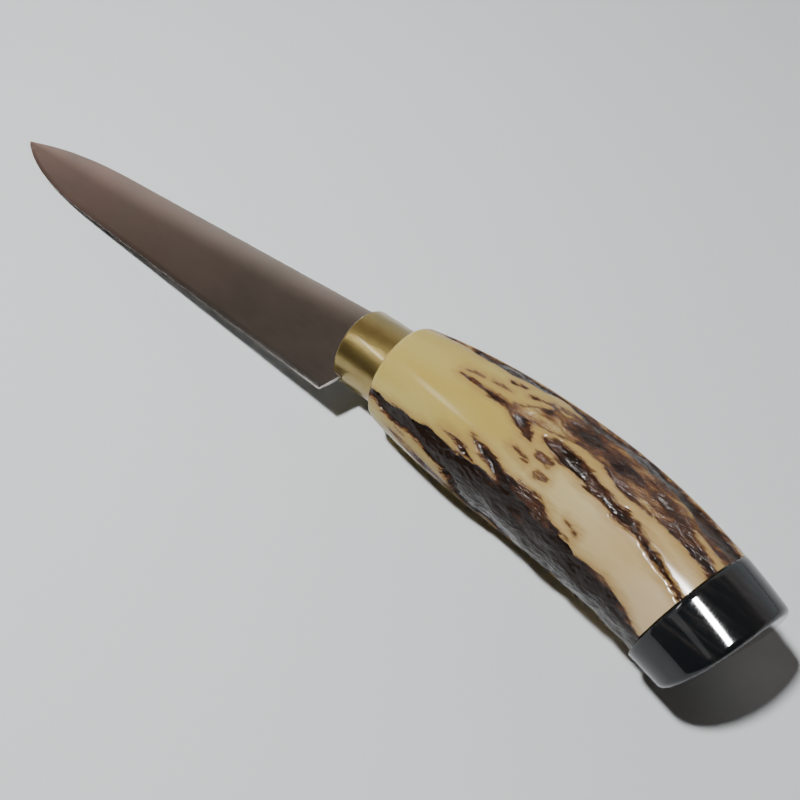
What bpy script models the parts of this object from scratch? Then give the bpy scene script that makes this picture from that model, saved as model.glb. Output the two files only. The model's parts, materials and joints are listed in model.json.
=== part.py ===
"""A fixed-blade knife with a stag-antler handle, lying on its side.

The knife is drawn in its own frame, in metres, and then laid down. In that frame X runs along the
ferrule's axis from the blade's tip (-X) to the butt (+X), with X = 0 at the ferrule's front face,
+Y is the side of the blade's spine, and Z is across the blade's thickness.
"""

import math

import bmesh
import bpy
from mathutils import Vector

MM = 0.001
GAP = 0.3 * MM  # the room between pieces that touch

# Blade: one forging, ground flat on both sides from the spine to the edge.
BLADE_LENGTH = 130 * MM
SPINE_AT_HEEL = 9.4 * MM  # height of the spine above the axis, at the ferrule
EDGE_AT_HEEL = 15.3 * MM  # depth of the edge below the axis, at the ferrule
TIP_DEPTH = 4.9 * MM  # depth of the tip below the axis
SPINE_SLOPE = 0.064
EDGE_SLOPE = 0.019
SPINE_CURVE_LENGTH = 45 * MM
SPINE_CURVE_POWER = 3.0
BELLY_LENGTH = 50 * MM
BELLY_POWER = 3.4
TIP_HEIGHT = 0.8 * MM
SPINE_THICKNESS = 3.2 * MM
EDGE_THICKNESS = 0.7 * MM  # at the heel, where the sharpened bevel starts
TIP_THICKNESS = 0.8 * MM
BEVEL_HEIGHT = 0.9 * MM
EDGE_FLAT = 0.1 * MM
SPINE_CHAMFER = 0.3 * MM
MOST_BEVEL_SHARE = 1 / 3  # of the blade's height, where it narrows to the tip
MOST_CHAMFER_SHARE = 1 / 6
TIP_ZONE = 0.8 * MM  # the end of the blade, which touches the ground
BLADE_SEAT = 2.6 * MM  # how deep the blade sits in the ferrule's slot
HEEL_RAKE = 1.6 * MM  # how far the heel leans forward below the ferrule
HEEL_STEP = 0.05 * MM
BLADE_STATIONS = 26

# Tang: it carries on the blade's grind, narrower, through the ferrule and into the handle.
TANG_LENGTH = 64 * MM
TANG_HEIGHT = 8.0 * MM
TANG_END_HEIGHT = 5.0 * MM
TANG_INSET = 0.05 * MM
TANG_ROOT = 2.0 * MM  # how far it reaches into the blade

# Ferrule: a turned brass cup with a solid front, slotted across for the blade and pierced for its tang.
FERRULE_RADIUS = 9.6 * MM
FERRULE_LENGTH = 12 * MM
FERRULE_WALL = 1.3 * MM
FERRULE_FRONT = 4.5 * MM  # the solid front, with the blade's slot in it
SLOT_OVERCUT = 1 * MM
FERRULE_ROUND = 0.8 * MM

# Handle: antler and butt cap share one outline, bent towards the edge and a little downwards.
ANTLER_LENGTH = 78 * MM
CAP_LENGTH = 10.5 * MM
SWELL_AT = 52 * MM  # from the ferrule to the thickest place
FRONT_RADIUS = 12.0 * MM
SWELL_HALF_WIDTH = 15.8 * MM
SWELL_HALF_THICKNESS = 14.6 * MM
BUTT_HALF_WIDTH = 13.8 * MM
BUTT_HALF_THICKNESS = 12.9 * MM
FRONT_RISE_POWER = 3.0
BUTT_FALL_POWER = 1.5
BUTT_DROP = 9.4 * MM
BUTT_DIP = 2.8 * MM
BEND_POWER = 3.2
SHOULDER_ROUND = 2.0 * MM
CAP_ROUND = 1.4 * MM
CAP_DOME = 0.6 * MM
BUTT_SKEW_ACROSS = 0.05  # the butt is cut a little askew: longer on the spine side
BUTT_SKEW_UP = 0.06  # and on the upper side
HANDLE_SIDES = 48
ANTLER_STATIONS = 26
CAP_STATIONS = 4
CAP_DOME_RINGS = (0.4, 0.75, 0.95)
ROUND_STEPS = 4

# Furrows in the bark: (degrees from the spine side, sway in degrees, start and end as shares of the
# antler's length, depth, width in degrees). Each one starts shallow, over the fade's share.
FURROW_FADE = 0.15
FURROWS = (
    (52, 14, 0.18, 1.00, 0.9 * MM, 15),
    (100, -10, 0.25, 1.00, 0.8 * MM, 14),
    (150, 16, 0.12, 1.00, 0.9 * MM, 18),
    (205, -8, 0.05, 0.96, 0.8 * MM, 16),
    (262, 12, 0.20, 1.00, 0.7 * MM, 15),
    (318, -12, 0.15, 0.98, 0.8 * MM, 17),
)

# Inside the handle: a resin bedding round the tang, and a dowel that pins the cap.
BEDDING_RADIUS = 5.2 * MM
BEDDING_BEYOND_TANG = 3 * MM
DOWEL_RADIUS = 3 * MM
DOWEL_IN_ANTLER = 9 * MM
DOWEL_IN_CAP = 5.5 * MM
DOWEL_CHAMFER = 0.5 * MM
BORE_SIDES = 32

HEEL_CORNER = BLADE_SEAT - HEEL_RAKE
ANTLER_FRONT = FERRULE_LENGTH + GAP
JOINT_AT = FERRULE_LENGTH + ANTLER_LENGTH
BUTT_AT = JOINT_AT + CAP_LENGTH
SHARP_ANGLE = math.radians(35)


def clear_scene():
    for obj in list(bpy.data.objects):
        bpy.data.objects.remove(obj, do_unlink=True)


def collection(name):
    made = bpy.data.collections.new(name)
    bpy.context.scene.collection.children.link(made)
    return made


def material(name, color, roughness, metallic=0.0):
    made = bpy.data.materials.new(name)
    made.use_nodes = True
    shader = made.node_tree.nodes["Principled BSDF"]
    shader.inputs["Base Color"].default_value = (*color, 1.0)
    shader.inputs["Roughness"].default_value = roughness
    shader.inputs["Metallic"].default_value = metallic
    return made


def loft(name, rings):
    """A closed mesh through rings of points, flat at both ends."""
    shape = bmesh.new()
    loops = [[shape.verts.new(point) for point in ring] for ring in rings]
    for near, far in zip(loops, loops[1:]):
        for i in range(len(near)):
            j = (i + 1) % len(near)
            shape.faces.new((near[i], near[j], far[j], far[i]))
    shape.faces.new(loops[0])
    shape.faces.new(loops[-1])
    bmesh.ops.recalc_face_normals(shape, faces=shape.faces)
    mesh = bpy.data.meshes.new(name)
    shape.to_mesh(mesh)
    shape.free()
    return bpy.data.objects.new(name, mesh)


def cylinder(name, radius, start, end, sides):
    """A round bar between two points."""
    along = end - start
    bpy.ops.mesh.primitive_cylinder_add(
        vertices=sides,
        radius=radius,
        depth=along.length,
        location=(start + end) / 2,
        rotation=along.to_track_quat("Z", "Y").to_euler(),
    )
    made = bpy.context.object
    made.name = name
    made.data.name = name
    return made


def keep(obj, group, parent, look=None):
    """Moves an object into its collection and hangs it on the knife's empty."""
    for old in list(obj.users_collection):
        old.objects.unlink(obj)
    group.objects.link(obj)
    obj.parent = parent
    if look:
        obj.data.materials.clear()
        obj.data.materials.append(look)
    return obj


def helper(obj, group, parent):
    """A shape that only joins or cuts another one."""
    keep(obj, group, parent)
    obj.hide_render = True
    obj.display_type = "WIRE"
    return obj


def combine(obj, other, operation):
    modifier = obj.modifiers.new(other.name, "BOOLEAN")
    modifier.operation = operation
    modifier.solver = "EXACT"
    modifier.object = other


def smooth(obj):
    obj.data.shade_smooth()
    obj.data.set_sharp_from_angle(angle=SHARP_ANGLE)


# The blade's outline and its flat sides


def past(x, curve_length):
    """How far x lies into the curve that ends at the tip, from 0 to 1."""
    return max(0.0, (curve_length - BLADE_LENGTH - x) / curve_length)


def spine_height(x):
    straight = SPINE_AT_HEEL + SPINE_SLOPE * x
    to_tip = SPINE_AT_HEEL - SPINE_SLOPE * BLADE_LENGTH + TIP_DEPTH - TIP_HEIGHT / 2
    return straight - to_tip * past(x, SPINE_CURVE_LENGTH) ** SPINE_CURVE_POWER


def heel_rise(x):
    """How far the raked rear of the heel has come up from the edge at x."""
    return max(0.0, x - HEEL_CORNER) / HEEL_RAKE * (EDGE_AT_HEEL - FERRULE_RADIUS)


def edge_height(x):
    straight = -EDGE_AT_HEEL - EDGE_SLOPE * x
    to_tip = EDGE_AT_HEEL - EDGE_SLOPE * BLADE_LENGTH - TIP_DEPTH - TIP_HEIGHT / 2
    return straight + to_tip * past(x, BELLY_LENGTH) ** BELLY_POWER + heel_rise(x)


def half_thickness(x, y):
    """Each side is one plane: through the spine and the bevel at the heel, and through the tip."""
    bevel_at_heel = -EDGE_AT_HEEL + BEVEL_HEIGHT
    grind = (SPINE_THICKNESS - EDGE_THICKNESS) / 2 / (SPINE_AT_HEEL - bevel_at_heel)
    at_heel = EDGE_THICKNESS / 2 + grind * (y - bevel_at_heel)
    tip_at_heel = EDGE_THICKNESS / 2 + grind * (-TIP_DEPTH - bevel_at_heel)
    return at_heel + (tip_at_heel - TIP_THICKNESS / 2) / BLADE_LENGTH * x


def blade_ring(x):
    """Eight points of one section, round from the spine's chamfer down one side and up the other."""
    top = spine_height(x)
    bottom = edge_height(x)
    height = top - bottom
    chamfer = min(SPINE_CHAMFER, height * MOST_CHAMFER_SHARE)
    bevel = bottom + min(BEVEL_HEIGHT, height * MOST_BEVEL_SHARE)
    edge = EDGE_FLAT / 2 if x <= HEEL_CORNER else half_thickness(x, bottom)
    side = [
        (top, half_thickness(x, top) - chamfer / 2),
        (top - chamfer, half_thickness(x, top - chamfer)),
        (bevel, half_thickness(x, bevel)),
        (bottom, edge),
    ]
    other_side = [(y, -z) for y, z in reversed(side)]
    return [Vector((x, y, z)) for y, z in side + other_side]


def blade_stations():
    """Places along the blade, closest together where the belly turns up to the tip."""
    belly_start = BELLY_LENGTH - BLADE_LENGTH
    turns = [step / BLADE_STATIONS * math.pi / 2 for step in range(BLADE_STATIONS, 0, -1)]
    curve = [belly_start - BELLY_LENGTH * math.sin(turn) for turn in turns]
    return curve + [belly_start, HEEL_CORNER, HEEL_CORNER + HEEL_STEP, BLADE_SEAT]


def wedge_ring(x, reach, grow):
    """A section at x, reach tall each way, that follows the blade's flat sides, thicker by grow."""
    top = half_thickness(0, reach) + grow
    bottom = half_thickness(0, -reach) + grow
    corners = ((reach, top), (-reach, bottom), (-reach, -bottom), (reach, -top))
    return [Vector((x, y, z)) for y, z in corners]


def tang_rings(start, end, grow=0.0):
    """The tang between two places, or the room for it if it grows."""
    rings = []
    for x in (start, end):
        height = TANG_HEIGHT + (TANG_END_HEIGHT - TANG_HEIGHT) * x / TANG_LENGTH
        rings.append(wedge_ring(x, height / 2 + grow, grow - TANG_INSET))
    return rings


def make_blade(parts, helpers, knife):
    look = material("satin_steel", (0.33, 0.32, 0.31), 0.32, 1.0)
    blade = keep(loft("blade", [blade_ring(x) for x in blade_stations()]), parts, knife, look)
    tang = helper(loft("tang", tang_rings(BLADE_SEAT - TANG_ROOT, TANG_LENGTH)), helpers, knife)
    combine(blade, tang, "UNION")
    return blade


# Ferrule


def ferrule_profile():
    """Radius and height above the rear rim, from the front's centre round the outside to the bore."""
    bore = FERRULE_RADIUS - FERRULE_WALL
    rim = []
    for step in range(ROUND_STEPS + 1):
        turn = step / ROUND_STEPS * math.pi / 2
        radius = FERRULE_RADIUS - FERRULE_ROUND * (1 - math.sin(turn))
        rim.append((radius, FERRULE_LENGTH - FERRULE_ROUND * (1 - math.cos(turn))))
    outside = [(0.0, FERRULE_LENGTH)] + rim + [(FERRULE_RADIUS, 0.0)]
    inside = [(bore, 0.0), (bore, FERRULE_LENGTH - FERRULE_FRONT), (0.0, FERRULE_LENGTH - FERRULE_FRONT)]
    return outside + inside


def make_ferrule(parts, helpers, knife):
    points = ferrule_profile()
    mesh = bpy.data.meshes.new("ferrule")
    edges = [(i, i + 1) for i in range(len(points) - 1)]
    mesh.from_pydata([(radius, 0.0, height) for radius, height in points], edges, [])
    ferrule = bpy.data.objects.new("ferrule", mesh)
    keep(ferrule, parts, knife, material("brass", (0.45, 0.35, 0.16), 0.3, 1.0))
    ferrule.location = (FERRULE_LENGTH, 0.0, 0.0)
    ferrule.rotation_euler = (0.0, -math.pi / 2, 0.0)
    turned = ferrule.modifiers.new("turned", "SCREW")
    turned.steps = HANDLE_SIDES
    turned.render_steps = HANDLE_SIDES
    turned.use_merge_vertices = True
    turned.merge_threshold = 0.00001
    turned.use_smooth_shade = True
    across = FERRULE_RADIUS + SLOT_OVERCUT
    slot_rings = [wedge_ring(x, across, GAP) for x in (-SLOT_OVERCUT, BLADE_SEAT + GAP)]
    combine(ferrule, helper(loft("blade_slot", slot_rings), helpers, knife), "DIFFERENCE")
    hole = loft("tang_hole", tang_rings(BLADE_SEAT, FERRULE_FRONT + GAP, GAP))
    combine(ferrule, helper(hole, helpers, knife), "DIFFERENCE")
    return ferrule


# The handle's outline, which the antler and the cap share


def centre(x):
    """The handle's centre line at x, and its direction there."""
    span = BUTT_AT - FERRULE_LENGTH
    along = max(0.0, x - FERRULE_LENGTH) / span
    bend = along**BEND_POWER
    turn = BEND_POWER / span * along ** (BEND_POWER - 1)
    point = Vector((x, -BUTT_DROP * bend, -BUTT_DIP * bend))
    return point, Vector((1.0, -BUTT_DROP * turn, -BUTT_DIP * turn)).normalized()


def swelling(x, swell, butt):
    """Half a width of the handle: it grows from the front to the swell, then falls to the butt."""
    along = x - FERRULE_LENGTH
    if along < SWELL_AT:
        return swell - (swell - FRONT_RADIUS) * (1 - along / SWELL_AT) ** FRONT_RISE_POWER
    behind = (along - SWELL_AT) / (BUTT_AT - FERRULE_LENGTH - SWELL_AT)
    return swell - (swell - butt) * behind**BUTT_FALL_POWER


def furrow_depth(x, angle):
    """How deep the bark is cut at this place on the antler."""
    share = (x - FERRULE_LENGTH) / ANTLER_LENGTH
    depth = 0.0
    for middle, sway, start, end, most, width in FURROWS:
        if not start < share < end:
            continue
        away = angle - middle - sway * math.sin(share * math.pi)
        away = (away + 180) % 360 - 180
        fade = min(1.0, (share - start) / FURROW_FADE)
        depth += most * fade * math.exp(-((away / width) ** 2))
    return depth


def handle_ring(x, inset=0.0, shift=0.0, skew=0.0, furrowed=False):
    """A section of the handle at x, smaller by inset, moved along the centre line by shift.

    It is square to the centre line, or leans by a share of the butt's skew.
    """
    point, along = centre(x)
    across = Vector((-along.y, along.x, 0.0)).normalized()
    up = along.cross(across)
    half_width = swelling(x, SWELL_HALF_WIDTH, BUTT_HALF_WIDTH) - inset
    half_height = swelling(x, SWELL_HALF_THICKNESS, BUTT_HALF_THICKNESS) - inset
    ring = []
    for side in range(HANDLE_SIDES):
        turn = 2 * math.pi * side / HANDLE_SIDES
        out = across * math.cos(turn) * half_width + up * math.sin(turn) * half_height
        if furrowed:
            out *= 1 - furrow_depth(x, math.degrees(turn)) / out.length
        lean = skew * (BUTT_SKEW_ACROSS * out.dot(across) + BUTT_SKEW_UP * out.dot(up))
        ring.append(point + out + along * (shift + lean))
    return ring


def round_ring(x, radius):
    """A circle about the ferrule's axis."""
    turns = [2 * math.pi * side / HANDLE_SIDES for side in range(HANDLE_SIDES)]
    return [Vector((x, radius * math.cos(turn), radius * math.sin(turn))) for turn in turns]


def antler_rings():
    """A spigot that fills the ferrule, a rounded shoulder behind it, and the body to the joint."""
    spigot = FERRULE_RADIUS - FERRULE_WALL - GAP
    rings = [round_ring(FERRULE_FRONT + GAP, spigot), round_ring(ANTLER_FRONT, spigot)]
    for step in range(ROUND_STEPS):
        turn = step / ROUND_STEPS * math.pi / 2
        x = ANTLER_FRONT + SHOULDER_ROUND * (1 - math.cos(turn))
        rings.append(handle_ring(x, inset=SHOULDER_ROUND * (1 - math.sin(turn))))
    body = ANTLER_FRONT + SHOULDER_ROUND
    for step in range(ANTLER_STATIONS + 1):
        rings.append(handle_ring(body + (JOINT_AT - body) * step / ANTLER_STATIONS, furrowed=True))
    return rings


def dowel(name, grow=0.0):
    """The dowel across the joint, or the room for it if it grows."""
    point, along = centre(JOINT_AT)
    start = point - along * (DOWEL_IN_ANTLER + grow)
    end = point + along * (DOWEL_IN_CAP + grow)
    return cylinder(name, DOWEL_RADIUS + grow, start, end, BORE_SIDES)


def bedding_end():
    return TANG_LENGTH + GAP + BEDDING_BEYOND_TANG


def make_antler(parts, helpers, knife):
    look = material("stag_antler", (0.62, 0.5, 0.3), 0.3)
    antler = keep(loft("antler_handle", antler_rings()), parts, knife, look)
    smooth(antler)
    start = Vector((FERRULE_FRONT - GAP, 0.0, 0.0))
    end = Vector((bedding_end() + GAP, 0.0, 0.0))
    bore = helper(cylinder("tang_bore", BEDDING_RADIUS + GAP, start, end, BORE_SIDES), helpers, knife)
    combine(antler, bore, "DIFFERENCE")
    combine(antler, helper(dowel("antler_socket", GAP), helpers, knife), "DIFFERENCE")
    return antler


def make_bedding(parts, helpers, knife):
    """Cured resin, cast round the tang."""
    start = Vector((FERRULE_FRONT + GAP, 0.0, 0.0))
    end = Vector((bedding_end(), 0.0, 0.0))
    look = material("resin", (0.42, 0.33, 0.17), 0.25)
    bedding = keep(cylinder("tang_bedding", BEDDING_RADIUS, start, end, BORE_SIDES), parts, knife, look)
    smooth(bedding)
    room = loft("tang_pocket", tang_rings(FERRULE_FRONT, TANG_LENGTH + GAP, GAP))
    combine(bedding, helper(room, helpers, knife), "DIFFERENCE")
    return bedding


def cap_rings():
    """The outline carried on to the butt, then a rounded rim and a low dome."""
    rim = BUTT_AT - CAP_ROUND
    rings = [handle_ring(JOINT_AT, shift=GAP)]
    for step in range(1, CAP_STATIONS + 1):
        share = step / CAP_STATIONS
        rings.append(handle_ring(JOINT_AT + (rim - JOINT_AT) * share, skew=share))
    for step in range(1, ROUND_STEPS + 1):
        turn = step / ROUND_STEPS * math.pi / 2
        inset = CAP_ROUND * (1 - math.cos(turn))
        rings.append(handle_ring(rim, inset=inset, shift=CAP_ROUND * math.sin(turn), skew=1.0))
    for share in CAP_DOME_RINGS:
        inset = CAP_ROUND + (BUTT_HALF_THICKNESS - CAP_ROUND) * share
        rise = CAP_ROUND + CAP_DOME * (1 - (1 - share) ** 2)
        rings.append(handle_ring(rim, inset=inset, shift=rise, skew=1.0))
    return rings


def make_cap(parts, helpers, knife):
    look = material("black_horn", (0.012, 0.012, 0.013), 0.12)
    cap = keep(loft("butt_cap", cap_rings()), parts, knife, look)
    smooth(cap)
    combine(cap, helper(dowel("cap_socket", GAP), helpers, knife), "DIFFERENCE")
    return cap


def make_dowel(parts, knife):
    pin = keep(dowel("cap_dowel"), parts, knife, material("beech", (0.55, 0.38, 0.2), 0.6))
    smooth(pin)
    chamfer = pin.modifiers.new("chamfer", "BEVEL")
    chamfer.width = DOWEL_CHAMFER
    chamfer.segments = 1
    chamfer.limit_method = "ANGLE"
    return pin


def world_points(objects):
    graph = bpy.context.evaluated_depsgraph_get()
    points = []
    for obj in objects:
        evaluated = obj.evaluated_get(graph)
        points += [evaluated.matrix_world @ vertex.co for vertex in evaluated.data.vertices]
    return points


def lay_down(knife, objects):
    """Tilts the knife until it rests on its tip and its handle, and centres it over the origin."""
    bpy.context.view_layer.update()
    points = world_points(objects)
    at_tip = [point for point in points if point.x < TIP_ZONE - BLADE_LENGTH]
    tip = min(at_tip, key=lambda point: point.z)
    slope = min((point.z - tip.z) / (point.x - tip.x) for point in points if point.x > 0)
    knife.rotation_euler = (0.0, math.atan(slope), 0.0)
    bpy.context.view_layer.update()
    points = world_points(objects)
    low = [min(point[axis] for point in points) for axis in range(3)]
    high = [max(point[axis] for point in points) for axis in range(3)]
    knife.location = (-(low[0] + high[0]) / 2, -(low[1] + high[1]) / 2, -low[2])
    bpy.context.view_layer.update()


def main():
    clear_scene()
    parts = collection("stag_handled_knife")
    helpers = collection("helpers")
    knife = bpy.data.objects.new("knife", None)
    parts.objects.link(knife)
    pieces = [
        make_blade(parts, helpers, knife),
        make_ferrule(parts, helpers, knife),
        make_antler(parts, helpers, knife),
        make_bedding(parts, helpers, knife),
        make_cap(parts, helpers, knife),
        make_dowel(parts, knife),
    ]
    lay_down(knife, pieces)


main()
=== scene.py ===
"""The looks of a fixed-blade knife with a stag-antler handle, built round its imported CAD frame.

Each visible piece is drawn in millimetres in the knife's own frame, the one that the CAD model uses:
X runs along the ferrule's axis from the tip (-X) to the butt (+X), with X = 0 at the ferrule's front
face, +Y is the side of the blade's spine, and Z is across the blade. One matrix, worked out from the
record's mount on the ferrule's face, then lays each piece down in the CAD's place.
"""

import json
import math

import bmesh
import bpy
import numpy as np
from mathutils import Matrix, Vector, noise

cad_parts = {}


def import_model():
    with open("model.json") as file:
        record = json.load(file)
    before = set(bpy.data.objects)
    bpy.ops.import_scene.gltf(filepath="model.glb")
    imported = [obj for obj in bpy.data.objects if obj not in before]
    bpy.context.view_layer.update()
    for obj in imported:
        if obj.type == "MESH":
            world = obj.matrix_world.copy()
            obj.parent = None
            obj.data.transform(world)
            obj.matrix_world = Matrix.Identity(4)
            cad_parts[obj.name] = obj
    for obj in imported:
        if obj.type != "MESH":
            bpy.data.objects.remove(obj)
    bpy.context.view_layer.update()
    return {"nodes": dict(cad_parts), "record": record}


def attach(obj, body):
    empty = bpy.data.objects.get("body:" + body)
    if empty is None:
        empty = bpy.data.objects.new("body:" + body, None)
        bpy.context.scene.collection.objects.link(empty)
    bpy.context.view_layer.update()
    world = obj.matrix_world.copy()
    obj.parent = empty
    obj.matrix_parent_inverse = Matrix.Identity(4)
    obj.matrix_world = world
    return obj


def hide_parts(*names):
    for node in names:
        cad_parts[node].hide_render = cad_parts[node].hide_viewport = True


MM = 0.001
GAP = 0.3  # between glued pieces, in mm

# Camera and light, in metres, degrees and watts, in the frame of the floor. The lens is in millimetres.
CAMERA_AT = (0.09793, -0.0827, 0.17265)
CAMERA_TURN = (33.39, -0.81, 41.645)
CAMERA_LENS = 38.7
CAMERA_NEAR = 0.01
FLOOR_SIZE = 1.3
FLOOR_COLOR = (0.585, 0.605, 0.62)
FLOOR_CLOUDS = 0.985  # the floor's darkest colour, as a share of FLOOR_COLOR

# Each lamp: the direction it shines from, its distance, size and power. The key lights the knife.
KEY_LAMP = ((-0.23, -0.20, 0.95), 0.65, (0.055, 0.055), 7.3)
# The others are only seen in what is glossy: strip on the cap and the bark, patch softly on the cap and
# the ferrule, glint as the bright line on the ferrule.
GLOSS_LAMPS = {
    "strip": ((0.115, -0.155, 0.98), 1.0, (0.11, 0.2), 30.0),
    "patch": ((-0.36, -0.54, 0.76), 1.0, (0.8, 0.4), 0.6),
    "glint": ((-0.56, -0.3, 0.77), 1.0, (0.3, 0.045), 0.85),
}

# The room's light, from the darkest direction, up and towards the edge's side, to the brightest, low on
# the spine's side. The length of ROOM_SIDE sets how fast it changes.
ROOM_STOPS = (
    (0.14, (0.018, 0.017, 0.016)),
    (0.34, (0.080, 0.060, 0.050)),
    (0.44, (0.150, 0.110, 0.090)),
    (0.52, (0.62, 0.54, 0.50)),
    (0.76, (0.68, 0.74, 0.76)),
)
ROOM_SIDE = (-0.25, 0.8, -0.9)

# Blade
BLADE_LENGTH = 130.0
SPINE_AT_HEEL = 9.4
EDGE_AT_HEEL = 15.3
TIP_DEPTH = 4.9
SPINE_SLOPE = 0.064
EDGE_SLOPE = 0.019
SPINE_CURVE_LENGTH = 45.0
SPINE_CURVE_POWER = 3.0
BELLY_LENGTH = 50.0
BELLY_POWER = 3.4
TIP_HEIGHT = 0.8
SPINE_THICKNESS = 3.2
EDGE_THICKNESS = 0.7
TIP_THICKNESS = 0.8
BEVEL_HEIGHT = 0.9
EDGE_FLAT = 0.1
BLADE_SEAT = 2.6
HEEL_RAKE = 1.6
SPINE_ROUND = 0.35
CROWN_REACH = 8.0  # how far below the spine the sides start to curve in, in mm
MOST_CROWN_SHARE = 0.45
CROWN_DROP = 0.5
MOST_ROUND_SHARE = 1 / 6
MOST_BEVEL_SHARE = 1 / 3
ROUND_STEPS = 6
SIDE_STEPS = 30
CURVE_STATIONS = 90
STRAIGHT_STATIONS = 30
BLADE_CREASE = 16.0  # degrees: sharp at the bevel, smooth round the arrises

# Tang
TANG_LENGTH = 64.0
TANG_HEIGHT = 8.0
TANG_END_HEIGHT = 5.0
TANG_INSET = 0.05
TANG_ROOT = 2.0

# Ferrule
FERRULE_RADIUS = 9.6
FERRULE_LENGTH = 12.0
FERRULE_WALL = 1.3
FERRULE_FRONT = 4.5
FERRULE_ROUND = 0.7
FERRULE_RIM = 0.15
FERRULE_SIDES = 192
FERRULE_CREASE = 30.0
FACE_POINT_HEIGHT = 5.0  # of the record's mount above the ferrule's axis
SLOT_OVERCUT = 1.0

# Handle: the antler and its cap share one outline.
ANTLER_LENGTH = 78.0
CAP_LENGTH = 10.5
SWELL_AT = 52.0
FRONT_RADIUS = 12.0
SWELL_HALF_WIDTH = 15.8
SWELL_HALF_THICKNESS = 14.6
BUTT_HALF_WIDTH = 13.8
BUTT_HALF_THICKNESS = 12.9
FRONT_RISE_POWER = 3.0
BUTT_FALL_POWER = 1.5
BUTT_DROP = 9.4
BUTT_DIP = 2.8
BEND_POWER = 3.2
SHOULDER_ROUND = 2.0
CAP_ROUND = 1.4
CAP_DOME = 0.6
BUTT_SKEW_ACROSS = 0.05
BUTT_SKEW_UP = 0.06
BUTT_SADDLE = 0.008  # per mm, across and up together
CAP_CORNER = 0.12
HANDLE_SIDES = 320
CORNER_STEPS = 12
ANTLER_STATIONS = 250
CAP_STATIONS = 12
HANDLE_CREASE = 50.0

# Inside the handle
BORE_RADIUS = 5.5
BORE_END = 67.6
SOCKET_RADIUS = 3.3
SOCKET_IN_ANTLER = 9.3
SOCKET_IN_CAP = 5.8

# Bark: each furrow is a chain of (distance behind the ferrule in mm, degrees round from the spine
# side, half its width in mm), with its depth in mm and how dark it is, from 0 to 1.
BARK_FURROWS = (
    # the black flank on the edge side, in three lengths, its brown border and its two tongues
    (((0, 156, 1.0), (4, 156, 1.4), (7, 157, 1.9), (13, 154, 2.3), (20, 155, 3.0), (27, 161, 4.0)),
     0.8, 1.0),
    (((27, 161, 4.0), (32, 168, 7.2), (38, 169, 7.6), (48, 170, 7.5), (54, 169, 7.6), (58, 173, 6.0)),
     1.0, 1.0),
    (((58, 173, 6.0), (62, 171, 6.7), (69, 172, 6.4), (72, 174, 5.4), (78, 175, 4.3)), 0.9, 1.0),
    (((58, 152, 1.2), (66, 151, 2.0), (72, 157, 1.9), (77, 164, 1.6)), 0.4, 0.35),
    (((21, 136, 0.4), (26, 138, 0.9), (31, 143, 1.2)), 0.5, 0.8),
    (((28, 125, 0.3), (32, 130, 1.1), (38, 138, 1.8), (47, 140, 2.3), (53, 147, 2.1), (57, 152, 1.6)),
     0.6, 0.7),
    # the furrow down the middle, in two lengths
    (((17.5, 87, 0.4), (22, 89, 0.7), (30, 90, 0.9), (33, 92, 1.5), (37, 100, 1.4), (39, 104, 0.6)),
     0.7, 0.6),
    (((41, 96, 1.2), (44, 95, 1.9), (51, 98, 1.8), (60, 103, 1.5), (68, 106, 1.1), (78, 114, 0.8)),
     1.0, 0.65),
    # the brown, broken bark between it and the spine side
    (((31, 88, 0.8), (35, 85, 2.2), (39, 78, 3.4), (44, 74, 3.4)), 0.4, 0.3),
    (((43, 72, 3.6), (51, 71, 4.0), (57, 74, 4.6), (63, 73, 4.8)), 0.6, 0.55),
    (((63, 73, 4.6), (68.5, 77, 3.0), (74, 82, 1.9), (78, 85, 1.3)), 0.5, 0.6),
    (((36, 62, 0.6), (46, 60, 1.4), (56, 58, 2.2), (66, 59, 2.6), (78, 64, 2.2)), 0.4, 0.38),
    # along the spine side
    (((3, 44, 0.8), (11, 45, 1.9), (19, 47, 2.8), (25, 46, 3.3), (32, 43, 3.0), (38, 40, 2.4)),
     0.8, 0.85),
    (((38, 40, 2.4), (44, 46, 3.5), (54, 43, 3.2), (63, 44, 3.2), (70, 49, 3.5), (78, 52, 3.4)),
     0.8, 0.8),
    # underneath: the first goes on from the black flank
    (((24, 190, 0.8), (32, 197, 2.8), (46, 203, 4.2), (60, 203, 4.6), (78, 201, 5.0)), 0.9, 0.95),
    (((6, 214, 0.8), (20, 226, 1.8), (38, 236, 2.2), (58, 234, 1.6)), 0.8, 0.9),
    (((14, 262, 0.5), (30, 257, 1.8), (48, 264, 2.6), (64, 258, 2.2), (78, 262, 1.4)), 0.8, 0.8),
    (((4, 303, 0.7), (22, 307, 2.0), (42, 299, 2.8), (60, 305, 2.6), (78, 300, 2.0)), 0.9, 0.9),
    (((18, 338, 0.5), (34, 343, 1.8), (54, 337, 2.4), (66, 342, 1.8), (78, 346, 1.6)), 0.8, 0.75),
    (((30, 18, 0.4), (44, 14, 1.4), (58, 17, 1.8), (78, 12, 1.2)), 0.7, 0.7),
)
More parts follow.
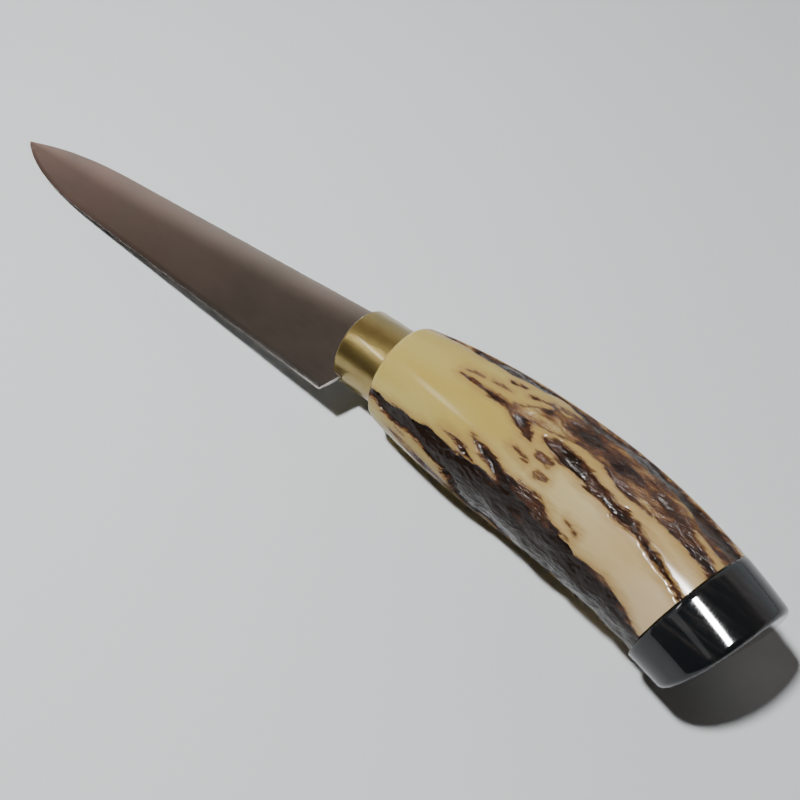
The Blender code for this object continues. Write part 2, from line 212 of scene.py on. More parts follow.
BARK_SPOTS = (
    (((18, 82, 0.3), (22, 80, 0.4)), 0.1, 0.25),
    (((23.6, 78, 0.4), (28.6, 78, 0.4)), 0.1, 0.25),
    (((27, 68, 0.6), (30, 65, 0.4)), 0.3, 0.8),
    (((32, 70, 0.5), (36, 66, 0.9), (40, 64, 0.7)), 0.4, 0.85),
    (((37, 74, 0.5), (40, 72, 0.9), (43, 73, 0.5)), 0.5, 0.95),
    (((50, 73, 0.6), (54, 71, 0.8)), 0.6, 1.0),
    (((57, 74, 0.8), (61, 78, 0.6)), 0.6, 1.0),
    (((62, 68, 1.0), (66, 74, 0.8), (71, 80, 0.6)), 0.7, 0.95),
    (((36, 114, 0.3), (38, 115, 0.6), (41, 117, 0.5)), 0.1, 0.35),
    (((44, 120, 0.8), (46, 119, 0.5)), 0.1, 0.25),
    (((42, 108, 1.0), (45, 109, 0.8)), 0.2, 0.35),
    (((54, 133, 0.3), (57, 135, 0.5)), 0.2, 0.5),
    (((11, 167, 0.5), (13.5, 168, 0.3)), 0.2, 0.4),
    (((9, 176, 0.5), (14, 181, 1.5), (20, 186, 1.9), (27, 190, 1.5)), 0.2, 0.3),
)
FURROW_SHOULDER = 1.1  # how far a furrow's side slopes, in mm
EDGE_REACH = 3.0  # how far from a furrow its distance is still kept, in mm
TONE_SHARPNESS = 2.0  # how fast one furrow's darkness gives way to its neighbour's, per mm

# The noise on the antler: how high it is in mm, its scale per mm, and how it is stretched along X.
NOISE_FALLOFF = 1.0
NOISE_SPREAD = 2.0
FINE_OCTAVES = 4
SMOOTH_OCTAVES = 2
GRAIN_STRETCH = (0.3, 1, 1)
RAGGED_DEPTH = 1.1  # how far it moves the bark's border
RAGGED_SCALE = 0.6
PEARL_STRETCH = (0.5, 1, 1)
PEARL_HEIGHT = 0.22
PEARL_SCALE = 0.9
PEARL_LEVEL = 0.35  # the noise's level at which a pearl neither rises nor sinks
BARK_SWELL = 0.6
BARK_SWELL_SCALE = 0.15
SURFACE_SWAY = 0.12
SURFACE_SWAY_SCALE = 0.12

# Materials. Colours are linear. A pattern is how fast it changes along X, Y and Z, its scale per mm, its
# detail and its roughness. A range is a pattern's level and what it becomes, at each of its stops. A
# bump is its depth in metres and its strength.
PATTERN_MIDDLE = 0.5
STEEL_GRAIN = ((0.08, 3.0, 1.0), 3.0, 4.0, 0.6)
STEEL_CLOUDS = ((0.6, 1.0, 1.0), 0.07, 3.0)
STEEL_CLOUD_RANGE = ((0.35, 0.0), (0.65, 1.0))
STEEL_AT_TIP = ((0.56, 0.43, 0.385, 1), (0.45, 0.385, 0.355, 1))
STEEL_AT_HEEL = ((0.42, 0.40, 0.365, 1), (0.51, 0.48, 0.445, 1))
STEEL_REFLECTION_CHANGE = (-105.0, -35.0)  # from the tip's warmer colours to the heel's greyer, lighter ones, between these X in mm: a painted reflection of the room along the blade
STEEL_ROUGHNESS = ((0.2, 0.14), (0.8, 0.24))
STEEL_BUMP = (0.00002, 0.1)

BRASS_LINES = ((9.0, 0.12, 0.12), 1.5, 3.0, 0.6)
BRASS_TARNISH = ((0.5, 1.0, 1.0), 0.22, 3.0, 0.6)
BRASS_TARNISH_RANGE = ((0.35, 0.0), (0.7, 1.0))
BRASS_COLORS = ((0.37, 0.275, 0.095, 1), (0.28, 0.205, 0.07, 1))
BRASS_ROUGHNESS = ((0.2, 0.26), (0.8, 0.38))
BRASS_COAT = 0.4
BRASS_COAT_ROUGHNESS = 0.08
BRASS_BUMP = (0.00003, 0.4)

ANTLER_STREAKS = ((0.22, 1.0, 1.0), 1.5, 4.0, 0.65)
ANTLER_BROAD = ((0.25, 1.0, 1.0), 0.11, 2.0)
ANTLER_BROAD_RANGE = ((0.35, 0.0), (0.65, 1.0))
ANTLER_TONE_AND_SHEEN_CHANGE = (40.0, 84.0)  # from the front's colours to the butt's paler ones, between these X in mm: partly the antler's own colour, partly a painted sheen near the cap
ANTLER_CREAM = ((0.34, 0.255, 0.06, 1), (0.38, 0.27, 0.11, 1))
ANTLER_PALE = ((0.38, 0.31, 0.10, 1), (0.46, 0.36, 0.23, 1))
FLECK_RANGE = ((0.25, 0.0), (0.42, 1.0))
FLECK_COLOR = (0.26, 0.15, 0.05, 1)
FLECK_SHARE = 0.2
BORDER_ROUGHNESS = 2.6  # how far the streaks move the bark's border, in mm
BORDER_RANGE = ((0.0, 0.0), (0.45, 1.0))
HALO_SCALE = (0.3, 0.6)  # the factor and offset from mm outside the bark to the halo's range
HALO_RANGE = ((0.0, 0.0), (0.65, 0.9))
HALO_COLOR = (0.27, 0.17, 0.06, 1)
RIM_RANGE = ((0.3, 0.0), (0.9, 1.0))
RIM_COLOR = (0.075, 0.026, 0.011, 1)
BARK_PATCHES = ((0.4, 1.0, 1.0), 0.36, 4.0, 0.6)
BARK_PATCH_STRENGTH = 1.9
BARK_TONES = (
    (0.05, (0.30, 0.21, 0.07)),
    (0.30, (0.15, 0.075, 0.028)),
    (0.48, (0.055, 0.022, 0.011)),
    (0.80, (0.011, 0.006, 0.004)),
)
BARK_GRAIN = ((0.6, 1.0, 1.0), 3.0, 2.0)
BARK_GRAIN_SHARE = 0.6
BARK_BUMP_RANGE = ((0.0, 0.0), (0.6, 1.0))
BARK_BUMP_TONES = ((0.5, 1.0), (1.0, 0.2))
BROAD_BUMP_SHARE = 0.3
ANTLER_ROUGHNESS = ((0.3, 0.12), (0.7, 0.2))
ANTLER_SPECULAR = 0.25
ANTLER_BUMP = (0.0004, 0.8)

HORN_STREAKS = ((0.12, 1.0, 1.0), 0.7, 4.0, 0.6)
HORN_STREAK_RANGE = ((0.5, 0.0), (0.75, 1.0))
HORN_SCRATCHES = ((1.0, 0.15, 1.0), 4.0, 2.0)
HORN_COLORS = ((0.006, 0.007, 0.008, 1), (0.02, 0.018, 0.017, 1))
HORN_ROUGHNESS = ((0.3, 0.05), (0.7, 0.09))
HORN_BUMP = (0.00001, 0.2)

RESIN_CLOUDS = ((1.0, 1.0, 1.0), 0.4, 3.0)
RESIN_COLORS = ((0.42, 0.30, 0.12, 1), (0.34, 0.26, 0.13, 1))
RESIN_ROUGHNESS = 0.3
RESIN_COAT = 0.3
RESIN_BUMP = (0.0001, 0.3)

BEECH_GRAIN = ((0.06, 1.0, 1.0), 1.2, 4.0)
BEECH_GRAIN_RANGE = ((0.3, 0.0), (0.7, 1.0))
BEECH_COLORS = ((0.50, 0.32, 0.16, 1), (0.60, 0.43, 0.25, 1))
BEECH_ROUGHNESS = 0.6
BEECH_BUMP = (0.0001, 0.4)

FLOOR_PATTERN = ((1.0, 1.0, 1.0), 0.002, 2.0)
FLOOR_ROUGHNESS = 0.8


# Meshes


def place(frame):
    """The matrix that takes the knife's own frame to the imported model's place."""
    face = next(m for m in frame["record"]["mounts"] if m["name"] == "ferrule_front_face")
    along = -Vector(face["axis"])
    side = Vector((0.0, 1.0, 0.0))
    up = along.cross(side).normalized()
    origin = Vector(face["pos_m"]) - up * FACE_POINT_HEIGHT * MM
    turn = Matrix((along, side, up)).transposed().to_4x4()
    return Matrix.Translation(origin) @ turn


def new_object(name, mesh):
    made = bpy.data.objects.new(name, mesh)
    bpy.context.scene.collection.objects.link(made)
    return made


def mesh_from(name, shape):
    bmesh.ops.recalc_face_normals(shape, faces=shape.faces)
    mesh = bpy.data.meshes.new(name)
    shape.to_mesh(mesh)
    shape.free()
    return mesh


def loft(name, rings):
    """A closed object through rings of points, flat at both ends."""
    shape = bmesh.new()
    loops = [[shape.verts.new(point) for point in ring] for ring in rings]
    for near, far in zip(loops, loops[1:]):
        for i in range(len(near)):
            j = (i + 1) % len(near)
            shape.faces.new((near[i], near[j], far[j], far[i]))
    shape.faces.new(loops[0])
    shape.faces.new(loops[-1])
    return new_object(name, mesh_from(name, shape))


def combine(obj, tool, operation):
    """Joins or cuts with another object, for good, and removes that one."""
    modifier = obj.modifiers.new(tool.name, "BOOLEAN")
    modifier.operation = operation
    modifier.solver = "EXACT"
    modifier.object = tool
    apply_modifiers(obj)
    bpy.data.objects.remove(tool, do_unlink=True)


def apply_modifiers(obj):
    graph = bpy.context.evaluated_depsgraph_get()
    made = bpy.data.meshes.new_from_object(obj.evaluated_get(graph))
    obj.modifiers.clear()
    obj.data = made


def smooth(obj, angle):
    obj.data.shade_smooth()
    obj.data.set_sharp_from_angle(angle=math.radians(angle))


def finish_piece(obj, matrix, node, look):
    obj.data.materials.clear()
    obj.data.materials.append(look)
    obj.data.transform(matrix @ Matrix.Scale(MM, 4))
    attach(obj, "root")
    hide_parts(node)


# Blade


def past(x, curve_length):
    """How far x is into the curve that ends at the tip, from 0 to 1."""
    return max(0.0, (curve_length - BLADE_LENGTH - x) / curve_length)


def spine_height(x):
    straight = SPINE_AT_HEEL + SPINE_SLOPE * x
    to_tip = SPINE_AT_HEEL - SPINE_SLOPE * BLADE_LENGTH + TIP_DEPTH - TIP_HEIGHT / 2
    return straight - to_tip * past(x, SPINE_CURVE_LENGTH) ** SPINE_CURVE_POWER


def edge_height(x):
    straight = -EDGE_AT_HEEL - EDGE_SLOPE * x
    to_tip = EDGE_AT_HEEL - EDGE_SLOPE * BLADE_LENGTH - TIP_DEPTH - TIP_HEIGHT / 2
    rise = max(0.0, x - BLADE_SEAT + HEEL_RAKE) / HEEL_RAKE * (EDGE_AT_HEEL - FERRULE_RADIUS)
    return straight + to_tip * past(x, BELLY_LENGTH) ** BELLY_POWER + rise


def half_thickness(x, y):
    bevel_at_heel = -EDGE_AT_HEEL + BEVEL_HEIGHT
    grind = (SPINE_THICKNESS - EDGE_THICKNESS) / 2 / (SPINE_AT_HEEL - bevel_at_heel)
    at_heel = EDGE_THICKNESS / 2 + grind * (y - bevel_at_heel)
    tip_at_heel = EDGE_THICKNESS / 2 + grind * (-TIP_DEPTH - bevel_at_heel)
    return at_heel + (tip_at_heel - TIP_THICKNESS / 2) / BLADE_LENGTH * x


def crown(below, reach):
    """How far a side curves in towards the spine, at a distance below it."""
    share = max(0.0, 1 - below / reach)
    return CROWN_DROP * reach / CROWN_REACH * share**2


def blade_ring(x):
    """A section: a flat spine, rounded arrises, sides that curve in near them, and the edge's bevel."""
    top = spine_height(x)
    bottom = edge_height(x)
    height = top - bottom
    rounding = min(SPINE_ROUND, height * MOST_ROUND_SHARE)
    bevel = bottom + min(BEVEL_HEIGHT, height * MOST_BEVEL_SHARE)
    on_bevel = x <= BLADE_SEAT - HEEL_RAKE
    reach = min(CROWN_REACH, height * MOST_CROWN_SHARE)
    side = []
    for step in range(ROUND_STEPS + 1):
        turn = step / ROUND_STEPS * math.pi / 2
        y = top - rounding * (1 - math.cos(turn))
        side.append((y, half_thickness(x, y) - crown(top - y, reach) - rounding * (1 - math.sin(turn))))
    upper = top - rounding
    for step in range(1, SIDE_STEPS + 1):
        y = upper + (bevel - upper) * step / SIDE_STEPS
        side.append((y, half_thickness(x, y) - crown(top - y, reach)))
    side.append((bottom, EDGE_FLAT / 2 if on_bevel else half_thickness(x, bottom)))
    other_side = [(y, -z) for y, z in reversed(side)]
    return [Vector((x, y, z)) for y, z in side + other_side]


def blade_stations():
    belly_start = BELLY_LENGTH - BLADE_LENGTH
    turns = [step / CURVE_STATIONS * math.pi / 2 for step in range(CURVE_STATIONS, 0, -1)]
    curve = [belly_start - BELLY_LENGTH * math.sin(turn) for turn in turns]
    heel = BLADE_SEAT - HEEL_RAKE
    straight = list(np.linspace(belly_start, heel, STRAIGHT_STATIONS))
    return curve + straight + [heel + EDGE_FLAT / 2, BLADE_SEAT]


def wedge_ring(x, reach, grow):
    """A section of the blade's own taper at its heel, thicker by grow on both sides."""
    top = half_thickness(0, reach) + grow
    bottom = half_thickness(0, -reach) + grow
    corners = ((reach, top), (-reach, bottom), (-reach, -bottom), (reach, -top))
    return [Vector((x, y, z)) for y, z in corners]


def tang_rings(start, end, grow=0.0):
    """The tang between two places, larger by grow all round."""
    rings = []
    for x in (start, end):
        height = TANG_HEIGHT + (TANG_END_HEIGHT - TANG_HEIGHT) * x / TANG_LENGTH
        rings.append(wedge_ring(x, height / 2 + grow, grow - TANG_INSET))
    return rings


def make_blade():
    blade = loft("ground_blade", [blade_ring(x) for x in blade_stations()])
    combine(blade, loft("tang", tang_rings(BLADE_SEAT - TANG_ROOT, TANG_LENGTH)), "UNION")
    smooth(blade, BLADE_CREASE)
    return blade


# Ferrule


def ferrule_profile():
    """(x, radius) from the front face's edge, round the outside, to the bore's end."""
    bore = FERRULE_RADIUS - FERRULE_WALL
    points = []
    for step in range(ROUND_STEPS + 1):
        turn = step / ROUND_STEPS * math.pi / 2
        x = FERRULE_ROUND * (1 - math.cos(turn))
        points.append((x, FERRULE_RADIUS - FERRULE_ROUND * (1 - math.sin(turn))))
    points.append((FERRULE_LENGTH - FERRULE_RIM, FERRULE_RADIUS))
    points.append((FERRULE_LENGTH, FERRULE_RADIUS - FERRULE_RIM))
    return points + [(FERRULE_LENGTH, bore), (FERRULE_FRONT, bore)]


def circle(x, radius, sides):
    turns = [2 * math.pi * side / sides for side in range(sides)]
    return [Vector((x, radius * math.cos(turn), radius * math.sin(turn))) for turn in turns]


def make_ferrule():
    rings = [circle(x, radius, FERRULE_SIDES) for x, radius in ferrule_profile()]
    ferrule = loft("turned_ferrule", rings)
    across = FERRULE_RADIUS + SLOT_OVERCUT
    slot = loft("blade_slot", [wedge_ring(x, across, GAP) for x in (-SLOT_OVERCUT, BLADE_SEAT + GAP)])
    combine(ferrule, slot, "DIFFERENCE")
    hole = loft("tang_hole", tang_rings(BLADE_SEAT, FERRULE_FRONT + GAP, GAP))
    combine(ferrule, hole, "DIFFERENCE")
    smooth(ferrule, FERRULE_CREASE)
    return ferrule


# Handle


def centre(x):
    """The handle's centre line at x, and its direction there."""
    span = ANTLER_LENGTH + CAP_LENGTH
    along = max(0.0, x - FERRULE_LENGTH) / span
    bend = along**BEND_POWER
    turn = BEND_POWER / span * along ** (BEND_POWER - 1)
    point = Vector((x, -BUTT_DROP * bend, -BUTT_DIP * bend))
    return point, Vector((1.0, -BUTT_DROP * turn, -BUTT_DIP * turn)).normalized()


def swelling(x, swell, butt):
    """The handle's half width at x, from its most, swell, and its value at the butt."""
    along = x - FERRULE_LENGTH
    if along < SWELL_AT:
        return swell - (swell - FRONT_RADIUS) * (1 - along / SWELL_AT) ** FRONT_RISE_POWER
    behind = (along - SWELL_AT) / (ANTLER_LENGTH + CAP_LENGTH - SWELL_AT)
    return swell - (swell - butt) * behind**BUTT_FALL_POWER


def handle_ring(x, inset=0.0, shift=0.0, skew=0.0):
    """A section of the handle's smooth outline, smaller by inset, moved along by shift.

    With skew, the section leans and bends into a slight saddle, as the hand-cut butt does.
    """
    point, along = centre(x)
    across = Vector((-along.y, along.x, 0.0)).normalized()
    up = along.cross(across)
    half_width = swelling(x, SWELL_HALF_WIDTH, BUTT_HALF_WIDTH) - inset
    half_height = swelling(x, SWELL_HALF_THICKNESS, BUTT_HALF_THICKNESS) - inset
    ring = []
    for side in range(HANDLE_SIDES):
        turn = 2 * math.pi * side / HANDLE_SIDES
        out = across * math.cos(turn) * half_width + up * math.sin(turn) * half_height
        beside = out.dot(across)
        above = out.dot(up)
        lean = BUTT_SKEW_ACROSS * beside + BUTT_SKEW_UP * above - BUTT_SADDLE * beside * above
        ring.append(point + out + along * (shift + skew * lean))
    return ring


def socket_ring(shift, radius):
    """A circle round the dowel's axis, which crosses the joint of antler and cap."""
    point, along = centre(FERRULE_LENGTH + ANTLER_LENGTH)
    across = Vector((-along.y, along.x, 0.0)).normalized()
    up = along.cross(across)
    turns = [2 * math.pi * side / HANDLE_SIDES for side in range(HANDLE_SIDES)]
    return [point + along * shift + (across * math.cos(t) + up * math.sin(t)) * radius for t in turns]


def distance_to_furrow(along, turn, girth, furrow):
    """How far each place on the antler lies from a furrow's side, in mm, negative inside it."""
    nearest = np.full_like(along, np.inf)
    for (s0, t0, w0), (s1, t1, w1) in zip(furrow, furrow[1:]):
        ds = s1 - s0
        dt = (t1 - t0) * girth
        away = ((turn - t0 + 180) % 360 - 180) * girth
        share = np.clip(((along - s0) * ds + away * dt) / (ds**2 + dt**2), 0, 1)
        gap = np.hypot(along - s0 - share * ds, away - share * dt) - (w0 + (w1 - w0) * share)
        nearest = np.minimum(nearest, gap)
    return nearest


def noise_at(points, scale, octaves):
    """Fractal noise at each point, about -1 to 1."""
    spots = [Vector(point) * scale for point in points]
    return np.array([noise.fractal(spot, NOISE_FALLOFF, NOISE_SPREAD, octaves) for spot in spots])


def smooth_step(value):
    value = np.clip(value, 0, 1)
    return value * value * (3 - 2 * value)


def bark_map(along, turn, girth, points):
    """For each place: how deep the bark lies, how far inside its border the place is, and its darkness."""
    ragged = RAGGED_DEPTH * noise_at(points * GRAIN_STRETCH, RAGGED_SCALE, FINE_OCTAVES)
    pearls = np.abs(noise_at(points * PEARL_STRETCH, PEARL_SCALE, SMOOTH_OCTAVES))
    inside = np.full_like(along, -EDGE_REACH)
    tone = np.zeros_like(along)
    depth = np.zeros_like(along)
    weight = np.zeros_like(along)
    for furrow, deep, dark in BARK_FURROWS + BARK_SPOTS:
        within = ragged * dark - distance_to_furrow(along, turn, girth, furrow)
        inside = np.maximum(inside, within)
        depth = np.maximum(depth, deep * smooth_step(within / FURROW_SHOULDER))
        share = np.exp(np.clip(within, -EDGE_REACH, EDGE_REACH) * TONE_SHARPNESS)
        tone += dark * share
        weight += share
    bark = smooth_step(inside / FURROW_SHOULDER)
    depth += bark * PEARL_HEIGHT * (pearls - PEARL_LEVEL)
    depth += bark * BARK_SWELL * noise_at(points, BARK_SWELL_SCALE, SMOOTH_OCTAVES)
    return depth, np.clip(inside, -EDGE_REACH, EDGE_REACH), tone / weight


def antler_body():
    """The outside of the antler as rings of points, and the bark's distance and darkness at each."""
    front = FERRULE_LENGTH + GAP
    body = front + SHOULDER_ROUND
    stations = []
    for step in range(CORNER_STEPS):
        turn = step / CORNER_STEPS * math.pi / 2
        x = front + SHOULDER_ROUND * (1 - math.cos(turn))
        stations.append((x, SHOULDER_ROUND * (1 - math.sin(turn))))
    for x in np.linspace(body, FERRULE_LENGTH + ANTLER_LENGTH, ANTLER_STATIONS):
        stations.append((x, 0.0))
    points, out, along, turn, girth = [], [], [], [], []
    for x, inset in stations:
        ring = handle_ring(x, inset)
        middle = centre(x)[0]
        radius = swelling(x, SWELL_HALF_WIDTH, BUTT_HALF_WIDTH)
        for side, point in enumerate(ring):
            points.append(point)
            out.append((point - middle).normalized())
            along.append(x - FERRULE_LENGTH)
            turn.append(360 * side / HANDLE_SIDES)
            girth.append(math.radians(radius))
    points = np.array(points)
    depth, edge, tone = bark_map(np.array(along), np.array(turn), np.array(girth), points)
    sway = SURFACE_SWAY * noise_at(points * GRAIN_STRETCH, SURFACE_SWAY_SCALE, SMOOTH_OCTAVES)
    points -= np.array(out) * (depth + sway + SURFACE_SWAY)[:, None]
    rings = points.reshape(len(stations), HANDLE_SIDES, 3)
    return rings, edge, tone


def make_antler():
    """From the bore's end out round the spigot, over the body, and into the dowel's socket."""
    rings, edge, tone = antler_body()
    spigot = FERRULE_RADIUS - FERRULE_WALL - GAP
    front = FERRULE_FRONT + GAP
    walls = ((BORE_END, BORE_RADIUS), (front, BORE_RADIUS), (front, spigot), (FERRULE_LENGTH + GAP, spigot))
    inner = [circle(x, radius, HANDLE_SIDES) for x, radius in walls]
    socket = [socket_ring(0.0, SOCKET_RADIUS), socket_ring(-SOCKET_IN_ANTLER, SOCKET_RADIUS)]
    antler = loft("carved_antler", inner + [list(map(Vector, ring)) for ring in rings] + socket)
    before = len(inner) * HANDLE_SIDES
    after = len(socket) * HANDLE_SIDES
    for name, values, plain in (("bark_edge", edge, -EDGE_REACH), ("bark_tone", tone, 0.0)):
        layer = antler.data.attributes.new(name, "FLOAT", "POINT")
        padded = np.pad(values, (before, after), constant_values=plain)
        layer.data.foreach_set("value", padded.astype(np.float32))
    smooth(antler, HANDLE_CREASE)
    return antler


def make_cap():
    """From the socket's end out to the joint, over the side and the round rim, and across the dome."""
    joint = FERRULE_LENGTH + ANTLER_LENGTH
    rim = joint + CAP_LENGTH - CAP_ROUND
    rings = [socket_ring(SOCKET_IN_CAP, SOCKET_RADIUS), socket_ring(GAP, SOCKET_RADIUS)]
    rings.append(handle_ring(joint, inset=CAP_CORNER, shift=GAP))
    for step in range(CAP_STATIONS + 1):
        share = step / CAP_STATIONS
        x = joint + CAP_CORNER + (rim - joint - CAP_CORNER) * share
        rings.append(handle_ring(x, shift=GAP * (1 - share), skew=share))
    for step in range(1, CORNER_STEPS + 1):
        turn = step / CORNER_STEPS * math.pi / 2
        inset = CAP_ROUND * (1 - math.cos(turn))
        rings.append(handle_ring(rim, inset=inset, shift=CAP_ROUND * math.sin(turn), skew=1.0))
    for step in range(1, CAP_STATIONS):
        share = step / CAP_STATIONS
        inset = CAP_ROUND + (BUTT_HALF_THICKNESS - CAP_ROUND) * share
        rise = CAP_ROUND + CAP_DOME * (1 - (1 - share) ** 2)
        rings.append(handle_ring(rim, inset=inset, shift=rise, skew=1.0))
    cap = loft("horn_cap", rings)
    smooth(cap, HANDLE_CREASE)
    return cap


# Materials


def set_stops(node, stops):
    """Sets a colour ramp's (place, level or colour) stops."""
    ends = node.color_ramp.elements
    while len(ends) < len(stops):
        ends.new(1.0)
    for end, (at, color) in zip(ends, stops):
        end.position = at
        end.color = (*color, 1.0) if isinstance(color, tuple) else (color, color, color, 1.0)


class Look:
    """A material, and short ways to add nodes to it. Its patterns follow the knife's frame in matrix."""

    def __init__(self, name, matrix):
        self.material = bpy.data.materials.new(name)
        self.material.use_nodes = True
        self.tree = self.material.node_tree
        self.shader = self.tree.nodes["Principled BSDF"]
        self.matrix = matrix

    def node(self, kind, settings=(), **inputs):
        made = self.tree.nodes.new(kind)
        for key, value in dict(settings).items():
            setattr(made, key, value)
        for key, value in inputs.items():
            self.put(made.inputs[key.replace("_", " ")], value)
        return made

    def put(self, socket, value):
        """Links a socket to another, or sets it."""
        if isinstance(value, bpy.types.NodeSocket):
            self.tree.links.new(value, socket)
        else:
            socket.default_value = value

    def math(self, operation, a, b):
        made = self.tree.nodes.new("ShaderNodeMath")
        made.operation = operation
        self.put(made.inputs[0], a)
        self.put(made.inputs[1], b)
        return made.outputs[0]

    def scale_and_add(self, value, factor, more):
        """A value times a factor, plus more."""
        return self.math("ADD", self.math("MULTIPLY", value, factor), more)

    def mix(self, share, a, b):
        made = self.tree.nodes.new("ShaderNodeMix")
        made.data_type = "RGBA"
        self.put(made.inputs["Factor"], share)
        self.put(made.inputs["A"], a)
        self.put(made.inputs["B"], b)
        return made.outputs["Result"]

    def ramp(self, value, stops):
        """Maps a value to a grey level or a colour through (place, level or colour) stops."""
        made = self.tree.nodes.new("ShaderNodeValToRGB")
        set_stops(made, stops)
        self.put(made.inputs[0], value)
        return made.outputs[0]

    def scaled(self, stretch):
        """Coordinates along the frame's axes, in millimetres, stretched."""
        where = self.tree.nodes.new("ShaderNodeTexCoord").outputs["Object"]
        made = self.node("ShaderNodeMapping", {"vector_type": "TEXTURE"}, Vector=where)
        made.inputs["Location"].default_value = self.matrix.to_translation()
        made.inputs["Rotation"].default_value = self.matrix.to_euler()
        made.inputs["Scale"].default_value = [MM / share for share in stretch]
        return made.outputs[0]

    def noise(self, stretch, scale, detail, roughness=0.5):
        made = self.node("ShaderNodeTexNoise", Vector=self.scaled(stretch), Scale=scale, Detail=detail)
        made.inputs["Roughness"].default_value = roughness
        return made.outputs[0]

    def attribute(self, name):
        return self.node("ShaderNodeAttribute", {"attribute_name": name}).outputs["Fac"]

    def along(self, start, end):
        """0 at one place along the knife, in millimetres, and 1 at another."""
        x = self.node("ShaderNodeSeparateXYZ", Vector=self.scaled((1, 1, 1))).outputs[0]
        return self.node("ShaderNodeMapRange", Value=x, From_Min=start, From_Max=end).outputs[0]

    def bump(self, height, distance, strength):
        made = self.node("ShaderNodeBump", Height=height, Distance=distance, Strength=strength)
        self.put(self.shader.inputs["Normal"], made.outputs[0])

    def set(self, **inputs):
        for key, value in inputs.items():
            self.put(self.shader.inputs[key.replace("_", " ")], value)


def steel_look(matrix):
    look = Look("satin_steel", matrix)
    grain = look.noise(*STEEL_GRAIN)
    cloud = look.ramp(look.noise(*STEEL_CLOUDS), STEEL_CLOUD_RANGE)
    at_tip = look.mix(cloud, *STEEL_AT_TIP)
    at_heel = look.mix(cloud, *STEEL_AT_HEEL)
    # Painted reflection: the tint goes from warm at the tip to greyer and lighter at the heel.
    color = look.mix(look.along(*STEEL_REFLECTION_CHANGE), at_tip, at_heel)
    look.set(Base_Color=color, Metallic=1.0, Roughness=look.ramp(grain, STEEL_ROUGHNESS))
    look.bump(grain, *STEEL_BUMP)
    return look.material


def brass_look(matrix):
    look = Look("turned_brass", matrix)
    lines = look.noise(*BRASS_LINES)
    tarnish = look.ramp(look.noise(*BRASS_TARNISH), BRASS_TARNISH_RANGE)
    look.set(Base_Color=look.mix(tarnish, *BRASS_COLORS), Metallic=1.0)
    look.set(Roughness=look.ramp(lines, BRASS_ROUGHNESS))
    look.set(Coat_Weight=BRASS_COAT, Coat_Roughness=BRASS_COAT_ROUGHNESS)
    look.bump(lines, *BRASS_BUMP)
    return look.material


def cream_color(look, streaks, broad, edge):
    """The polished antler: cream in broad patches, flecked, browner near the bark, and paler at the butt,
    partly as a painted sheen.
    """
    # Paler towards the butt: partly the antler's own colour, partly a painted sheen near the cap.
    butt_tone_and_sheen = look.along(*ANTLER_TONE_AND_SHEEN_CHANGE)
    cream = look.mix(butt_tone_and_sheen, *ANTLER_CREAM)
    pale = look.mix(butt_tone_and_sheen, *ANTLER_PALE)
    cream = look.mix(look.ramp(broad, ANTLER_BROAD_RANGE), cream, pale)
    fleck = look.mix(FLECK_SHARE, cream, FLECK_COLOR)
    cream = look.mix(look.ramp(streaks, FLECK_RANGE), fleck, cream)
    halo = look.ramp(look.scale_and_add(edge, *HALO_SCALE), HALO_RANGE)
    return look.mix(halo, cream, HALO_COLOR)


def antler_look(matrix):
    look = Look("stag_antler", matrix)
    streaks = look.noise(*ANTLER_STREAKS)
    broad = look.noise(*ANTLER_BROAD)
    ragged = look.math("SUBTRACT", streaks, PATTERN_MIDDLE)
    edge = look.scale_and_add(ragged, BORDER_ROUGHNESS, look.attribute("bark_edge"))
    patches = look.math("SUBTRACT", look.noise(*BARK_PATCHES), PATTERN_MIDDLE)
    tone = look.scale_and_add(patches, BARK_PATCH_STRENGTH, look.attribute("bark_tone"))

    bark = look.mix(look.ramp(edge, RIM_RANGE), RIM_COLOR, look.ramp(tone, BARK_TONES))
    color = look.mix(look.ramp(edge, BORDER_RANGE), cream_color(look, streaks, broad, edge), bark)
    look.set(Base_Color=color, Roughness=look.ramp(streaks, ANTLER_ROUGHNESS))
    look.set(Specular_IOR_Level=ANTLER_SPECULAR)

    grain = look.scale_and_add(look.noise(*BARK_GRAIN), BARK_GRAIN_SHARE, streaks)
    coarse = look.math("MULTIPLY", look.ramp(edge, BARK_BUMP_RANGE), look.ramp(tone, BARK_BUMP_TONES))
    height = look.math("MULTIPLY", grain, coarse)
    look.bump(look.scale_and_add(broad, BROAD_BUMP_SHARE, height), *ANTLER_BUMP)
    return look.material


def horn_look(matrix):
    look = Look("black_horn", matrix)
    streaks = look.noise(*HORN_STREAKS)
    color = look.mix(look.ramp(streaks, HORN_STREAK_RANGE), *HORN_COLORS)
    scratches = look.noise(*HORN_SCRATCHES)
    look.set(Base_Color=color, Roughness=look.ramp(scratches, HORN_ROUGHNESS))
    look.bump(streaks, *HORN_BUMP)
    return look.material


def resin_look(matrix):
    look = Look("cured_resin", matrix)
    clouds = look.noise(*RESIN_CLOUDS)
    look.set(Base_Color=look.mix(clouds, *RESIN_COLORS), Roughness=RESIN_ROUGHNESS, Coat_Weight=RESIN_COAT)
    look.bump(clouds, *RESIN_BUMP)
    return look.material


def beech_look(matrix):
    look = Look("beech", matrix)
    grain = look.noise(*BEECH_GRAIN)
    color = look.mix(look.ramp(grain, BEECH_GRAIN_RANGE), *BEECH_COLORS)
    look.set(Base_Color=color, Roughness=BEECH_ROUGHNESS)
    look.bump(grain, *BEECH_BUMP)
    return look.material


def floor_look():
    look = Look("pale_floor", Matrix.Identity(4))
    low = tuple(FLOOR_CLOUDS * level for level in FLOOR_COLOR)
    color = look.mix(look.noise(*FLOOR_PATTERN), (*low, 1), (*FLOOR_COLOR, 1))
    look.set(Base_Color=color, Roughness=FLOOR_ROUGHNESS, Specular_IOR_Level=0.0)
    return look.material


# Stage


def make_floor():
    shape = bmesh.new()
    bmesh.ops.create_grid(shape, size=FLOOR_SIZE / 2)
    floor = new_object("floor", mesh_from("floor", shape))
    floor.data.materials.append(floor_look())


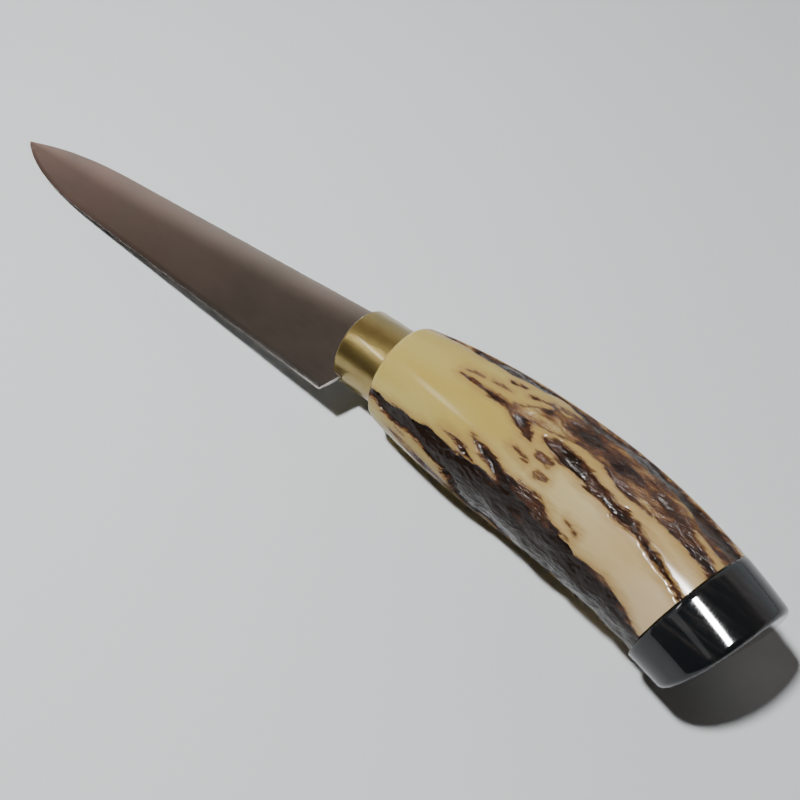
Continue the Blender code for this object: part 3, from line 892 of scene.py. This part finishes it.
def area_light(name, direction, distance, size, power):
    lamp = bpy.data.lights.new(name, "AREA")
    lamp.shape = "ELLIPSE"
    lamp.size, lamp.size_y = size
    lamp.energy = power
    made = bpy.data.objects.new(name, lamp)
    bpy.context.scene.collection.objects.link(made)
    toward = Vector(direction).normalized()
    made.location = toward * distance
    made.rotation_euler = toward.to_track_quat("Z", "Y").to_euler()
    return made


def make_lights():
    area_light("key", *KEY_LAMP).visible_glossy = False
    for name, lamp in GLOSS_LAMPS.items():
        area_light(name, *lamp).visible_diffuse = False


def make_room():
    """A dim room, darkest up and towards the edge's side, with pale light low on the spine's side."""
    world = bpy.data.worlds.new("room")
    bpy.context.scene.world = world
    world.use_nodes = True
    tree = world.node_tree
    side = tree.nodes.new("ShaderNodeVectorMath")
    side.operation = "DOT_PRODUCT"
    side.inputs[1].default_value = ROOM_SIDE
    tree.links.new(tree.nodes.new("ShaderNodeTexCoord").outputs["Generated"], side.inputs[0])
    share = tree.nodes.new("ShaderNodeMapRange")
    share.inputs["From Min"].default_value = -1.0
    tree.links.new(side.outputs["Value"], share.inputs["Value"])
    ramp = tree.nodes.new("ShaderNodeValToRGB")
    set_stops(ramp, ROOM_STOPS)
    tree.links.new(share.outputs[0], ramp.inputs[0])
    tree.links.new(ramp.outputs[0], tree.nodes["Background"].inputs["Color"])


def make_camera():
    data = bpy.data.cameras.new("camera")
    data.lens = CAMERA_LENS
    data.clip_start = CAMERA_NEAR
    camera = bpy.data.objects.new("camera", data)
    bpy.context.scene.collection.objects.link(camera)
    camera.location = CAMERA_AT
    camera.rotation_euler = [math.radians(angle) for angle in CAMERA_TURN]
    bpy.context.scene.camera = camera


def main():
    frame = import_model()
    make_camera()
    make_floor()
    make_room()
    make_lights()

    matrix = place(frame)
    finish_piece(make_blade(), matrix, "blade", steel_look(matrix))
    finish_piece(make_ferrule(), matrix, "ferrule", brass_look(matrix))
    finish_piece(make_antler(), matrix, "antler_handle", antler_look(matrix))
    finish_piece(make_cap(), matrix, "butt_cap", horn_look(matrix))
    for node, look in (("tang_bedding", resin_look(matrix)), ("cap_dowel", beech_look(matrix))):
        for slot in frame["nodes"][node].material_slots:
            slot.material = look


main()
